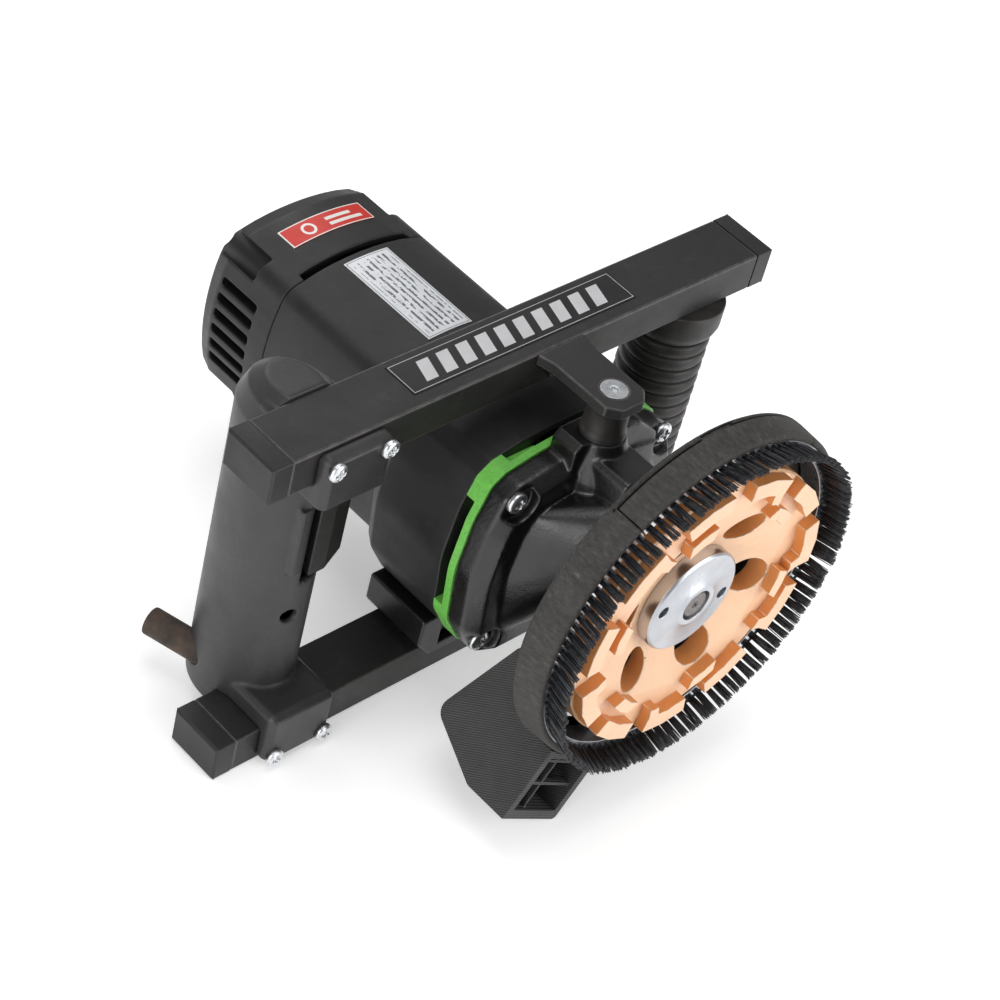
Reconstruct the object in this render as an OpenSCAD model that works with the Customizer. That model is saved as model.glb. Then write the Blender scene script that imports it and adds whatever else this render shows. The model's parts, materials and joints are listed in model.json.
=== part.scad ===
// Hand-held concrete wall grinder: a straight motor drives a cup wheel through a
// spur reduction, inside a brush-rimmed dust hood, and hangs in a two-rail frame
// with a switch handle on the left and a ribbed grip on the right.
// Millimetres. X runs along the rails, -Y faces the wall, +Z is up.
// Everything is drawn from the wheel's spindle axis; place() moves it so that the
// origin is under the middle of the whole machine, on the surface it stands on.

/* [Wheel] */
// Diameter of the cup wheel
wheel_d = 125; // [120:1:127]
// Number of raised outer segments
outer_segments = 11; // [8:1:12]
// Number of raised inner segments
inner_segments = 6; // [5:1:8]
// Number of dust holes through the wheel's cone
dust_holes = 6; // [4:1:8]

/* [Hood] */
// Outer radius of the hood's rim
hood_r = 77; // [77:0.5:80]
// Middle angle of the lift-off rim segment, from +X
segment_mid = 90; // [82:1:92]
// Half of the angle that the lift-off segment takes
segment_half = 38; // [30:1:40]
// Direction in which the dust duct leaves the hood, from +X
duct_angle = -123; // [-123:1:-121]

/* [Frame] */
// Left end of both rails
rail_left = -141.7; // [-150:0.1:-135]
// Right end of both rails
rail_right = 121.2; // [115:0.1:130]
// Height of the rail tubes
rail_h = 17; // [16:0.5:18]
// Depth of the rail tubes, front to back
rail_w = 26.4; // [25:0.1:28]
// Wall thickness of the rail tubes
rail_wall = 2; // [1.5:0.25:3]

/* [Handles] */
// Half width of the switch handle's oval section
handle_a = 18.5; // [17.5:0.5:19]
// Half depth of the switch handle's oval section
handle_b = 24; // [23:0.5:25]
// Outer radius of the ribbed grip
grip_r = 17.5; // [15:0.5:18]
// Distance between the grip's ribs
grip_pitch = 6.4; // [5:0.1:8]
// Travel of the switch paddle
trigger_travel = 4; // [2:0.5:4]

/* [Drive] */
// Gear module
gear_module = 0.75; // [0.75:0.05:0.75]
// Teeth on the motor pinion
pinion_teeth = 12; // [12:1:12]
// Teeth on the spindle gear
gear_teeth = 36; // [36:1:36]

/* [Hidden] */
$fn = 72;
eps = 0.01;
run = 0.05;             // radial play of a running fit
gap = 0.4;              // space between parts that only pass each other

// frame
floor_z = -105.6;
rail_y = 111.8;
top_rail_z = 50.4;
bottom_rail_z = floor_z + rail_h / 2;
mid_z = (top_rail_z + bottom_rail_z) / 2;
rail_front = rail_y - rail_w / 2;
rail_top_under = top_rail_z - rail_h / 2;
rail_bottom_over = bottom_rail_z + rail_h / 2;
cap_len = 9;
arm_tip_y = 58;
arm_w = 21;
arm_t = 5;
damper_y = 69.1;
boss_top = 38;

// drive train
shaft_gap = gear_module * (pinion_teeth + gear_teeth) / 2;
motor_z = -shaft_gap;
pressure_angle = 25;
gear_y0 = 56;
gear_y1 = 66;
nut_front = 5.7;
web_front = 12;
web_back = 17;
flange_back = 21.6;
neck_r = 22;
neck_y0 = 25.5;
neck_y1 = 46;
front_bearing = [34, 44, 6, 16];      // from y, to y, bore radius, outer radius
spindle_rear_bearing = [70, 77, 4, 11];
armature_front_bearing = [84, 92, 5, 13];
armature_rear_bearing = [225, 232, 4, 11];

// hood
rim_front = 7.4;
rim_back = 19.6;
plate_y0 = 20;
plate_y1 = 23.3;
bristle_tip = -3.9;
duct_side0 = -15.6;
duct_side1 = 25.9;
duct_end = 110.2;
duct_wall = 4.6;
port_r = 16;
port_len = 9;
port_out = 84;          // the port's distance from the spindle axis, along the duct
port_y = 39;

// casings
housing_z = -17;
casing_mouth = 87.2;
casing_wide_end = 132;
casing_end = 209;
cap_end = 253;
casing_half_w = 44.2;
casing_half_h = 43.2;
casing_arch = 111;      // radius of the casing's slightly crowned sides
corner_r = 9;
stator_r = 41;
shield_r = 42.5;        // outer radius of the bearing shield's disc
cap_screw_x = 32.4;
cap_screw_z = 31.2;
screw_x = 39.5;
screw_z = [18.9, -55.6];

// handle
handle_x = -104.5;
handle_y = 131;
handle_split = 116;
handle_bottom = -104.8;
handle_top = 60.5;
clamp_front = 92;
clamp_x0 = -120.6;
clamp_x1 = -88.4;
clamp_lip = 10;
guard_x = -111;         // middle of the guard ridge on the handle's front
lock_hole = [-107.8, -40];
handle_screw_x = [-117.2, -92.2];
handle_screw_z = [53.2, -99.4];
grip_x = 85;
trigger_x0 = -102;
trigger_x1 = -80;
trigger_y0 = 108;
trigger_y1 = 132;
trigger_z0 = -22;
trigger_z1 = 26;

shift = [-(rail_left + rail_right) / 2, -(bristle_tip + cap_end) / 2, -floor_z];

// ---------- helpers ----------

// Points of the arc, tangent to both sides, that rounds corner b between a and c
function corner(a, b, c, r, n) =
    let (u = (a - b) / norm(a - b), v = (c - b) / norm(c - b), half = acos(u * v) / 2,
         s = b + u * r / tan(half), e = b + v * r / tan(half),
         m = b + (u + v) / norm(u + v) * r / sin(half),
         a0 = atan2(s[1] - m[1], s[0] - m[0]), a1 = atan2(e[1] - m[1], e[0] - m[0]),
         sweep = (a1 - a0 + 540) % 360 - 180)
    r == 0 ? [b] : [for (i = [0:n]) m + r * [cos(a0 + sweep * i / n), sin(a0 + sweep * i / n)]];

// A polygon's points with every corner rounded to its own radius
function rounded(p, radii, n = 6) =
    [for (i = [0:len(p) - 1])
        each corner(p[(i + len(p) - 1) % len(p)], p[i], p[(i + 1) % len(p)], radii[i], n)];

// The right half of an outline, in the XZ plane, mirrored into a closed one
function mirrored(p) = concat(p, [for (i = [len(p) - 1:-1:0]) [-p[i][0], p[i][1]]]);

function box_points(w, h) = [[-w / 2, -h / 2], [w / 2, -h / 2], [w / 2, h / 2], [-w / 2, h / 2]];

module place() {
    translate(shift)
        children();
}

// Extrudes an outline drawn in the XZ plane from y0 to y1
module along_y(y0, y1) {
    translate([0, y0, 0])
        rotate([-90, 0, 0])
            linear_extrude(y1 - y0)
                mirror([0, 1])
                    children();
}

// A round bar along Y
module rod_y(r, y0, y1, x = 0, z = 0) {
    translate([x, y0, z])
        rotate([-90, 0, 0])
            cylinder(r = r, h = y1 - y0);
}

// A round bar along Z
module rod_z(r, z0, z1, x = 0, y = 0) {
    translate([x, y, z0])
        cylinder(r = r, h = z1 - z0);
}

// Turns a profile of [radius, y] points about the Y axis at height z
module turned(profile, z = 0) {
    translate([0, 0, z])
        rotate([-90, 0, 0])
            rotate_extrude()
                polygon(profile);
}

// Turns children about the spindle so that their +X points at angle a
module around(a) {
    rotate([0, -a, 0])
        children();
}

// A sector of the XZ plane between two angles, for cutting rings
module sector(a0, a1, y0, y1, r = 120) {
    steps = 12;
    along_y(y0, y1)
        polygon(concat([[0, 0]], [for (i = [0:steps])
            r * [cos(a0 + (a1 - a0) * i / steps), sin(a0 + (a1 - a0) * i / steps)]]));
}

module box(low, high) {
    translate(low)
        cube(high - low);
}

module ring_y(r_in, r_out, y0, y1, x = 0, z = 0) {
    difference() {
        rod_y(r_out, y0, y1, x, z);
        rod_y(r_in, y0 - 1, y1 + 1, x, z);
    }
}

module bearing(b, z) {
    color("silver")
        ring_y(b[2] + run, b[3], b[0], b[1], 0, z);
}

// Raised-head screw along +Y with its head's front at y and a cross recess
module pan_screw(y, x, z, head_r, head_h, shank_r, shank_len) {
    difference() {
        union() {
            rod_y(head_r, y + head_h * 0.45, y + head_h, x, z);
            translate([x, y + head_h * 0.45 + eps, z])
                rotate([90, 0, 0])
                    cylinder(r1 = head_r, r2 = head_r * 0.6, h = head_h * 0.45 + eps);
            rod_y(shank_r, y + head_h - eps, y + head_h + shank_len, x, z);
        }
        box([x - head_r * 0.5, y - 1, z - 0.5], [x + head_r * 0.5, y + 1.2, z + 0.5]);
        box([x - 0.5, y - 1, z - head_r * 0.5], [x + 0.5, y + 1.2, z + head_r * 0.5]);
    }
}

// ---------- outlines, in the XZ plane ----------

// The wide rounded-square outline of the gear housing, outlet ring and fan casing
function wide_outline(inset = 0) =
    let (k = inset, half = [
        [38 - k * 0.6, -49.1 + k], [49.5 - k, -30], [52.5 - k, -2], [49.3 - k, 22 - k * 0.2],
        [43.8 - k * 0.85, 37.5 - k * 0.7], [37.5 - k * 0.75, 42 - k * 0.85], [22 - k * 0.4, 45 - k * 0.95],
        [8 - k * 0.1, 46.4 - k]],
        z = [for (p = half) [p[0], p[1] + housing_z]])
    rounded(mirrored(z), concat([8, 14, 40, 20, 5, 5, 20, 20], [20, 20, 5, 5, 20, 40, 14, 8]), 4);

// The arched-square outline of the motor casing and its rear cap: four shallow arcs
// that meet in rounded corners
function arch_drop(u) = casing_arch - sqrt(casing_arch * casing_arch - u * u);
function motor_outline(inset = 0) =
    let (w = casing_half_w - inset, h = casing_half_h - inset, n = 4,
         cx = w - arch_drop(h * 0.85), cz = h - arch_drop(w * 0.86),
         side = [for (i = [1 - n:n - 1]) [w - arch_drop(i / n * cz * 0.8), i / n * cz * 0.8]],
         top = [for (i = [n - 1:-1:1 - n]) [i / n * cx * 0.8, h - arch_drop(i / n * cx * 0.8)]],
         flat_r = [for (i = side) 0])
    [for (p = rounded(concat(side, [[cx, cz]], top, [[-cx, cz]], -side, [[-cx, -cz]], -top, [[cx, -cz]]),
        concat(flat_r, [corner_r], flat_r, [corner_r], flat_r, [corner_r], flat_r, [corner_r]), 5))
        [p[0], p[1] + motor_z]];

// Involute spur gear outline, thinned so that the pair runs with backlash
function involute(rb, t) = rb * [cos(t) + t * PI / 180 * sin(t), sin(t) - t * PI / 180 * cos(t)];
function involute_angle(rb, r) = sqrt(max(0, r * r / (rb * rb) - 1)) * 180 / PI;
function turn2(p, a) = [p[0] * cos(a) - p[1] * sin(a), p[0] * sin(a) + p[1] * cos(a)];
function gear_points(teeth, backlash) =
    let (rp = gear_module * teeth / 2, rb = rp * cos(pressure_angle), ra = rp + gear_module * 0.92,
         rf = rp - gear_module * 1.22, t_tip = involute_angle(rb, ra), start = max(rb, rf),
         t0 = involute_angle(rb, start), pitch_t = involute_angle(rb, rp),
         at_pitch = involute(rb, pitch_t), inv_pitch = atan2(at_pitch[1], at_pitch[0]),
         half = 90 / teeth + inv_pitch - backlash / rp * 180 / PI / 2,
         flank = [for (i = [0:4]) involute(rb, t0 + (t_tip - t0) * i / 4)],
         root = (half + 180 / teeth) / 2)
    [for (k = [0:teeth - 1]) each concat(
        [turn2([rf, 0], k * 360 / teeth - root)],
        [for (p = flank) turn2(p, k * 360 / teeth - half)],
        [for (i = [4:-1:0]) turn2([flank[i][0], -flank[i][1]], k * 360 / teeth + half)],
        [turn2([rf, 0], k * 360 / teeth + root)])];

// ---------- frame ----------

module rail(z) {
    difference() {
        box([rail_left + cap_len, rail_front, z - rail_h / 2],
            [rail_right - cap_len, rail_front + rail_w, z + rail_h / 2]);
        box([rail_left, rail_front + rail_wall, z - rail_h / 2 + rail_wall],
            [rail_right, rail_front + rail_w - rail_wall, z + rail_h / 2 - rail_wall]);
        for (x = handle_screw_x)
            rod_y(2.2, rail_front - 1, rail_front + rail_w + 1, x, z < 0 ? handle_screw_z[1] : handle_screw_z[0]);
        children();
    }
}

module top_rail() {
    place()
        color("dimgray")
            rail(top_rail_z)
                rod_z(3.2, rail_top_under - 1, top_rail_z, grip_x, rail_y);
}

module bottom_rail() {
    place()
        color("dimgray")
            rail(bottom_rail_z) {
                rod_z(3.2, bottom_rail_z, rail_bottom_over + 1, grip_x, rail_y);
                for (x = [-22, 22])
                    rod_z(2.7, bottom_rail_z, rail_bottom_over + 1, x, rail_y);
            }
}

module rail_end_cap(x, side, z) {
    lip = 1;
    translate([x, rail_y, z]) {
        rotate([90, 0, 90])
            translate([0, 0, side > 0 ? -cap_len : lip])
                linear_extrude(cap_len - lip)
                    polygon(rounded(box_points(rail_w, rail_h), [0.8, 0.8, 0.8, 0.8], 3));
        hull() {
            translate([side * -lip - 0.02, -rail_w / 2, -rail_h / 2])
                cube([0.04, rail_w, rail_h]);
            translate([side > 0 ? -0.04 : 0, -rail_w / 2 + lip, -rail_h / 2 + lip])
                cube([0.04, rail_w - 2 * lip, rail_h - 2 * lip]);
        }
        translate([side > 0 ? -cap_len - 10 : cap_len, -rail_w / 2 + rail_wall, -rail_h / 2 + rail_wall])
            cube([10, rail_w - 2 * rail_wall, rail_h - 2 * rail_wall]);
    }
}

module rail_end_caps() {
    place()
        color("black")
            for (z = [top_rail_z, bottom_rail_z]) {
                rail_end_cap(rail_left, -1, z);
                rail_end_cap(rail_right, 1, z);
            }
}

module arm_bracket() {
    top = top_rail_z + rail_h / 2;
    chamfer = 5;
    place()
        color("dimgray")
            difference() {
                union() {
                    translate([0, 0, top - arm_t])
                        linear_extrude(arm_t)
                            polygon([[-arm_w / 2 - 2, rail_front], [-arm_w / 2, rail_front - 8],
                                [-arm_w / 2, arm_tip_y + chamfer], [-arm_w / 2 + chamfer, arm_tip_y],
                                [arm_w / 2 - chamfer, arm_tip_y], [arm_w / 2, arm_tip_y + chamfer],
                                [arm_w / 2, rail_front - 8], [arm_w / 2 + 2, rail_front]]);
                    translate([-2.5, 0, 0])
                        rotate([90, 0, 90])
                            linear_extrude(5)
                                polygon([[rail_front, top - arm_t], [rail_front, rail_top_under + 1],
                                    [rail_front - 11, top - arm_t]]);
                }
                rod_z(3.1, 0, 100, 0, damper_y);
                translate([0, damper_y, top - 2.6])
                    cylinder(r1 = 3.1, r2 = 5.8, h = 2.7);
            }
}

module arm_screw() {
    top = top_rail_z + rail_h / 2;
    place()
        color("silver")
            difference() {
                union() {
                    translate([0, damper_y, top - 2.6])
                        cylinder(r1 = 3, r2 = 5.65, h = 2.6);
                    rod_z(3, boss_top - 10, top - 2.5, 0, damper_y);
                }
                translate([0, damper_y, top - 1.8])
                    cylinder(r = 1.9, h = 3, $fn = 6);
            }
}

module arm_damper() {
    base = top_rail_z + rail_h / 2 - arm_t;
    place()
        color("black")
            translate([0, damper_y, 0])
                rotate_extrude()
                    polygon([[3, boss_top], [9.3, boss_top], [9.3, boss_top + 2], [8.6, boss_top + 4],
                        [8.6, base - 3], [9.3, base - 1.5], [9.3, base], [3, base]]);
}

module rail_label() {
    top = top_rail_z + rail_h / 2;
    place()
        color("black")
            box([-70, rail_y - 7.2, top], [46.5, rail_y + 9.8, top + 0.3]);
}

module bottom_saddle() {
    top = housing_z - 49.1;
    place()
        color("black")
            difference() {
                along_y(93.5, 127)
                    polygon([[-36.5, rail_bottom_over], [36.5, rail_bottom_over], [44, rail_bottom_over + 9],
                        [44, top - 0.02], [-44, top - 0.02], [-44, rail_bottom_over + 9]]);
                for (x = [-22, 22]) {
                    rod_z(2.6, rail_bottom_over - 1, top + 1, x, rail_y);
                    rod_z(5.2, top - 4, top + 1, x, rail_y);
                }
                for (x = [-22, 22])
                    box([x - 10, 92, rail_bottom_over + 5], [x + 10, 99, top - 4]);
            }
}

module saddle_screws() {
    top = housing_z - 49.1;
    place()
        color("silver")
            for (x = [-22, 22]) {
                rod_z(2.5, bottom_rail_z, top - 3.95, x, rail_y);
                difference() {
                    rod_z(5, top - 4, top - 1, x, rail_y);
                    translate([x, rail_y, top - 2.5])
                        cylinder(r = 2, h = 3, $fn = 6);
                }
            }
}

// ---------- motor casing ----------

module motor_casing() {
    place()
        color("dimgray")
            difference() {
                union() {
                    along_y(casing_mouth, casing_wide_end - 6)
                        polygon(wide_outline());
                    hull() {
                        along_y(casing_wide_end - 6.02, casing_wide_end - 6)
                            polygon(wide_outline());
                        along_y(casing_wide_end - 0.02, casing_wide_end)
                            polygon(wide_outline(4));
                    }
                    along_y(casing_wide_end - 1, casing_end)
                        polygon(motor_outline());
                }
                rod_y(shield_r + 1, casing_mouth - 1, 112, 0, housing_z);
                rod_y(stator_r, 111, casing_end + 1, 0, motor_z);
                for (x = [-1, 1], z = [1, -1])
                    rod_y(1.6, casing_end - 16, casing_end + 1, x * cap_screw_x, motor_z + z * cap_screw_z);
                for (x = [-screw_x, screw_x], z = screw_z)
                    rod_y(2.1, casing_mouth - 1, casing_mouth + 14, x, z);
            }
}

module vent_slots(side) {
    for (i = [0:5])
        box([side > 0 ? 32 : -50, 219.5, housing_z + 19.5 - 7.8 * i - 2.2],
            [side > 0 ? 50 : -32, 241, housing_z + 19.5 - 7.8 * i + 2.2]);
}

module rear_cap() {
    wall = 3;
    place()
        color([0.16, 0.16, 0.16])
            difference() {
                union() {
                    along_y(casing_end + 0.02, cap_end - 11)
                        polygon(motor_outline());
                    hull() {
                        along_y(cap_end - 11.02, cap_end - 11)
                            polygon(motor_outline());
                        along_y(cap_end - 4, cap_end - 3.98)
                            polygon(motor_outline(2.5));
                        along_y(cap_end - 0.02, cap_end)
                            polygon(motor_outline(8));
                    }
                }
                difference() {
                    rod_y(stator_r - 1, casing_end - 1, cap_end - wall, 0, motor_z);
                    rod_y(15, armature_rear_bearing[0], cap_end, 0, motor_z);
                    for (x = [-1, 1], z = [1, -1])
                        rod_y(6.5, casing_end, cap_end, x * cap_screw_x, motor_z + z * cap_screw_z);
                }
                rod_y(armature_rear_bearing[3], armature_rear_bearing[0] - 1, armature_rear_bearing[1], 0, motor_z);
                rod_y(4.6, armature_rear_bearing[1] - 1, armature_rear_bearing[1] + 8, 0, motor_z);
                vent_slots(-1);
                vent_slots(1);
                box([-28.5, casing_end - 1, 8], [28.5, casing_end + 3.4, 40]);
                for (x = [-1, 1], z = [1, -1]) {
                    rod_y(6, 226, cap_end + 1, x * 34.3, motor_z + z * 33.1);
                    rod_y(1.9, casing_end - 1, 227, x * cap_screw_x, motor_z + z * cap_screw_z);
                }
            }
}

module rear_cap_screws() {
    place()
        color("silver")
            for (x = [-1, 1], z = [1, -1])
                translate([x * cap_screw_x, 0, motor_z + z * cap_screw_z])
                    mirror([0, 1, 0])
                        pan_screw(-228.6, 0, 0, 3.4, 2.6, 1.5, 30);
}

module cap_decal() {
    top = motor_z + casing_half_h;
    place()
        color("firebrick")
            intersection() {
                ring_y(casing_arch, casing_arch + 0.3, 224.5, 235.5, 0, top - casing_arch);
                box([-21.5, 220, top - 5], [21.5, 240, top + 5]);
            }
}

module rating_plate() {
    top = motor_z + casing_half_h;
    place()
        color("whitesmoke")
            intersection() {
                ring_y(casing_arch, casing_arch + 0.3, 153, 205.5, 0, top - casing_arch);
                box([-11.6, 150, top - 5], [11.6, 210, top + 5]);
            }
}

// ---------- outlet ring, bearing shield and gear housing ----------

module air_outlet_ring() {
    ring_front = 79.2;
    window_y = 82.6;
    place()
        color("limegreen")
            difference() {
                along_y(ring_front, casing_mouth)
                    polygon(wide_outline(-0.6));
                rod_y(shield_r + 0.2, ring_front - 1, casing_mouth + 1, 0, housing_z);
                box([-33, window_y, housing_z + 40], [33, casing_mouth + 1, housing_z + 60]);
                box([-33, window_y, housing_z - 60], [33, casing_mouth + 1, housing_z - 40]);
                box([-62, window_y, housing_z - 25], [-40, casing_mouth + 1, housing_z + 29]);
                box([40, window_y, housing_z - 25], [62, casing_mouth + 1, housing_z + 29]);
                for (x = [-screw_x, screw_x], z = screw_z)
                    rod_y(2.1, ring_front - 1, casing_mouth + 1, x, z);
            }
}

module bearing_shield() {
    front = 79.4;
    seat = spindle_rear_bearing;
    rear_seat = armature_front_bearing;
    place()
        color("gray")
            difference() {
                union() {
                    rod_y(shield_r, front, front + 4, 0, housing_z);
                    rod_y(seat[3] + 2.5, seat[0], front + 1, 0, 0);
                    rod_y(rear_seat[3] + 3, front + 3, rear_seat[1] - 0.5, 0, motor_z);
                }
                rod_y(seat[3], seat[0] - 1, seat[1], 0, 0);
                rod_y(5.5, seat[0] - 1, front + 5, 0, 0);
                rod_y(6, seat[0] - 1, rear_seat[0] + 1, 0, motor_z);
                rod_y(rear_seat[3], rear_seat[0], rear_seat[1] + 1, 0, motor_z);
                for (a = [20:40:340])
                    if (abs(a - 90) > 25)
                        rod_y(4.4, front - 1, front + 5, 35 * cos(a), housing_z + 35 * sin(a));
            }
}

module gear_housing() {
    back = 79.2;
    chamber_y0 = 53;
    rib_front = 43.5;
    rib_top = 33.5;
    pocket_r = 8;
    place()
        color([0.12, 0.12, 0.12])
            difference() {
                union() {
                    along_y(71, back)
                        polygon(wide_outline());
                    hull() {
                        along_y(71, 71.02)
                            polygon(wide_outline());
                        along_y(65, 65.02)
                            polygon(wide_outline(5));
                    }
                    hull() {
                        along_y(65, 65.02)
                            polygon(wide_outline(14));
                        rod_y(26, neck_y1, neck_y1 + 0.02, 0, -3);
                    }
                    // rib that carries the boss forward over the neck
                    along_y(rib_front, 71)
                        translate([0, rib_top - 22])
                            polygon(rounded(box_points(20, 44), [3, 3, 3, 3], 3));
                    // shoulder beside the boss, falling away towards the right-hand screw
                    along_y(66, back)
                        polygon([[-16, 15], [-16, boss_top - 3], [-13, boss_top], [14, boss_top],
                            [20, boss_top - 2.5], [32, boss_top - 13], [32, 15]]);
                    hull() {
                        rod_z(9.8, 20, boss_top, 0, damper_y);
                        rod_z(13, 12, 22, 0, damper_y - 3.4);
                    }
                    rod_y(neck_r, neck_y0, neck_y1 + 6, 0, 0);
                }
                // gear chamber, bearing seats and the spindle's way out
                rod_y(19, chamber_y0, back + 1, 0, 0);
                rod_y(21, chamber_y0 + 2, back + 1, 0, motor_z);
                rod_y(shield_r + 0.2, 75, back + 1, 0, housing_z);
                rod_y(front_bearing[3], front_bearing[0], chamber_y0 + 1, 0, 0);
                rod_y(14, neck_y0 - 1, front_bearing[0] + 1, 0, 0);
                // damper screw, housing screws and their pockets
                rod_z(3, boss_top - 10, boss_top + 1, 0, damper_y);
                for (x = [-screw_x, screw_x], z = screw_z) {
                    rod_y(2.4, 60, back + 1, x, z);
                    rod_y(pocket_r, 40, 70, x, z);
                }
            }
}

module gear_housing_screws() {
    place()
        color("silver")
            for (x = [-screw_x, screw_x], z = screw_z)
                pan_screw(66.8, x, z, 4.6, 3.2, 2.05, 26);
}

// ---------- spindle ----------

module spindle_front_bearing() {
    place()
        bearing(front_bearing, 0);
}

module spindle_rear_bearing() {
    place()
        bearing(spindle_rear_bearing, 0);
}

module spindle() {
    b = front_bearing;
    c = spindle_rear_bearing;
    thread_r = 6.9;
    tip = 4.6;
    lead = 1.4;
    place()
        color("silver")
            difference() {
                turned([[0, tip], [thread_r - lead, tip], [thread_r, tip + lead], [thread_r, flange_back + 2],
                    [8, flange_back + 2], [8, b[0]], [b[2], b[0]], [b[2], b[1]], [7.5, b[1]], [7.5, gear_y0],
                    [5.5, gear_y0], [5.5, gear_y1], [5, gear_y1], [5, c[0]], [c[2], c[0]], [c[2], c[1] + 1],
                    [c[2] - 0.5, c[1] + 1.5], [0, c[1] + 1.5]]);
                translate([0, tip - 0.1, 0])
                    rotate([-90, 0, 0])
                        cylinder(r1 = 1.8, r2 = 0, h = 2.4);
            }
}

module drive_gear() {
    place()
        color("goldenrod")
            difference() {
                along_y(gear_y0, gear_y1)
                    rotate(180 / gear_teeth)
                        polygon(gear_points(gear_teeth, 0.12));
                rod_y(5.5, gear_y0 - 1, gear_y1 + 1);
                for (a = [0:60:300])
                    rod_y(1.7, gear_y0 - 1, gear_y1 + 1, 9 * cos(a), 9 * sin(a));
            }
}

module backing_flange() {
    place()
        color("silver")
            difference() {
                turned([[6.9, web_front + 1], [11, web_front + 1], [11, web_back], [20, web_back],
                    [20, flange_back], [12.5, flange_back], [12.5, neck_y0 + 6], [8, neck_y0 + 6],
                    [8, flange_back + 2], [6.9, flange_back + 2]]);
                for (s = [-1, 1])
                    box([-25, flange_back - 3.4, s > 0 ? 11 : -25], [25, flange_back + 1, s > 0 ? 25 : -11]);
            }
}

// Section through the cup: flat hub, cone, then the rim that carries the segments
function cup_profile(r) = [[11, web_front], [26, web_front], [r - 19.5, 5.2], [r - 1, 5.2], [r, 6.2],
    [r, 12.5], [r - 2.5, 14.5], [42, 14.5], [30, web_back], [11, web_back]];

module cup_wheel() {
    hole_r = 8.4;
    hole_out = wheel_d / 2 - 27.6;
    phase = -8;
    place()
        color([0.85, 0.6, 0.4])
            difference() {
                turned(cup_profile(wheel_d / 2));
                for (a = [phase:360 / dust_holes:phase + 359])
                    rod_y(hole_r, 0, 20, hole_out * cos(a), hole_out * sin(a));
            }
}

module wheel_segment(r0, r1, half_angle, slant) {
    along_y(0, 5.2)
        polygon([
            r0 * [cos(-half_angle + slant), sin(-half_angle + slant)],
            r1 * [cos(-half_angle), sin(-half_angle)],
            (r1 + 0.35) * [1, 0],
            r1 * [cos(half_angle), sin(half_angle)],
            r0 * [cos(half_angle + slant), sin(half_angle + slant)],
            (r0 + 0.3) * [cos(slant), sin(slant)]]);
}

module wheel_segments() {
    outer = wheel_d / 2 - 0.5;
    place()
        color([0.72, 0.47, 0.28])
            for (i = [0:max(outer_segments, inner_segments) - 1]) {
                if (i < outer_segments)
                    around(i * 360 / outer_segments + 7) {
                        wheel_segment(outer - 7.5, outer, 11, 0);
                        if (i % 2 == 0)
                            around(-8)
                                wheel_segment(outer - 12, outer - 7.45, 3, -2);
                    }
                if (i < inner_segments)
                    around(i * 360 / inner_segments - 12)
                        wheel_segment(outer - 18, outer - 12.6, 8, 3);
            }
}

module flange_nut() {
    pin_pitch = 35.5;
    place()
        color("silver")
            difference() {
                turned([[6.9, nut_front - 1.8], [9.2, nut_front - 1.8], [10.2, nut_front - 1.2], [13.5, nut_front],
                    [22.2, nut_front],
                    [23.2, nut_front + 1], [23.2, web_front], [10.9, web_front],
                    [10.9, web_front + 1], [6.9, web_front + 1]]);
                for (a = [-12, 168])
                    rod_y(2.5, nut_front - 1, nut_front + 4.5, pin_pitch / 2 * cos(a), pin_pitch / 2 * sin(a));
            }
}

// ---------- motor ----------

module armature_front_bearing() {
    place()
        bearing(armature_front_bearing, motor_z);
}

module armature_rear_bearing() {
    place()
        bearing(armature_rear_bearing, motor_z);
}

// Shaft with the pinion cut on its front end
module armature_shaft() {
    f = armature_front_bearing;
    r = armature_rear_bearing;
    place()
        color("silver") {
            translate([0, 0, motor_z])
                along_y(gear_y0 - 0.5, gear_y1 + 0.5)
                    polygon(gear_points(pinion_teeth, 0.12));
            turned([[0, gear_y1 + 0.48], [3.4, gear_y1 + 0.48], [3.4, f[0] - 2], [f[2], f[0] - 1], [f[2], f[1]],
                [6, f[1]], [6, 214], [r[2], 214], [r[2], r[1] + 0.5], [r[2] - 0.5, r[1] + 1],
                [0, r[1] + 1]], motor_z);
        }
}

module armature_core() {
    place()
        color("slategray")
            difference() {
                rod_y(25, 120, 175, 0, motor_z);
                rod_y(6, 119, 176, 0, motor_z);
                for (a = [0:30:330])
                    translate([0, 0, motor_z])
                        around(a)
                            box([17.5, 119, -1.1], [26, 176, 1.1]);
            }
}

module armature_windings() {
    place()
        color("peru")
            for (y = [[113, 119.95], [175.05, 184]])
                turned([[6, y[0] + 1], [12, y[0]], [20, y[0]], [22, y[0] + 2], [22, y[1] - 1], [21, y[1]],
                    [6, y[1]]], motor_z);
}

module commutator() {
    place()
        color("orange")
            difference() {
                turned([[6, 187], [11, 187], [12.5, 188], [12.5, 209], [11, 210], [6, 210]], motor_z);
                for (a = [0:15:345])
                    translate([0, 0, motor_z])
                        around(a)
                            box([11.6, 186, -0.3], [13, 209, 0.3]);
            }
}

module cooling_fan() {
    place()
        color("dimgray") {
            turned([[6, 96], [11, 96], [11, 107.5], [34, 107.5], [35, 108.5], [35, 109.5], [6, 109.5]], motor_z);
            for (i = [0:10])
                translate([0, 0, motor_z])
                    around(i * 360 / 11)
                        translate([14, 97, 0])
                            rotate([0, 22, 0])
                                cube([18.5, 10.6, 1.6]);
        }
}

module stator_core() {
    place()
        color("gray")
            difference() {
                rod_y(stator_r, 120, 175, 0, motor_z);
                rod_y(25.8, 119, 176, 0, motor_z);
                for (s = [-1, 1])
                    translate([0, 0, motor_z])
                        box([s > 0 ? 14 : -34, 119, -17], [s > 0 ? 34 : -14, 176, 17]);
            }
}

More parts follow.
